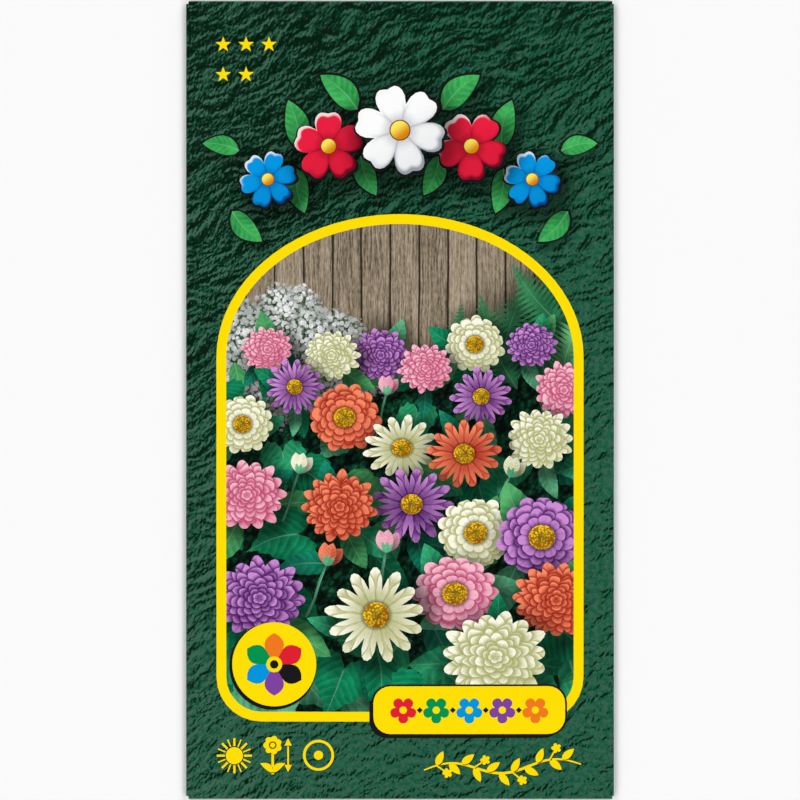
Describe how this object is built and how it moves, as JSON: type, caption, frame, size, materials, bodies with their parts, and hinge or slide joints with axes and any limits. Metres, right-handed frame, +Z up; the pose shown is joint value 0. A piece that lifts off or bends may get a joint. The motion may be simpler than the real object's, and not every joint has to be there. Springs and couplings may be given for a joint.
{
  "type": "flower seed packet",
  "caption": "Flat folded and glued paper packet of flower seed, with a printed front, glued back flaps and a sealed inner sachet of seed, lying on its back.",
  "frame": {"origin": "middle of the packet's underside, in the plane of the closing flaps' outer faces", "axes": "+Y along the packet's length towards its top edge, +X across its width to the right of the printed front, +Z up out of the printed front"},
  "size_m": [0.0804, 0.15, 0.0036],
  "materials": {
    "printed_paper": "satin",
    "dried_glue": "satin",
    "glassine": "satin",
    "seed_coat": "matte"
  },
  "bodies": {
    "root": {"paper_envelope": "printed_paper", "seam_glue": "dried_glue", "bottom_flap_glue": "dried_glue", "top_flap_glue": "dried_glue", "sachet_lower_film": "glassine", "sachet_upper_film": "glassine", "seed_heap": "seed_coat"}
  },
  "joints": []
}
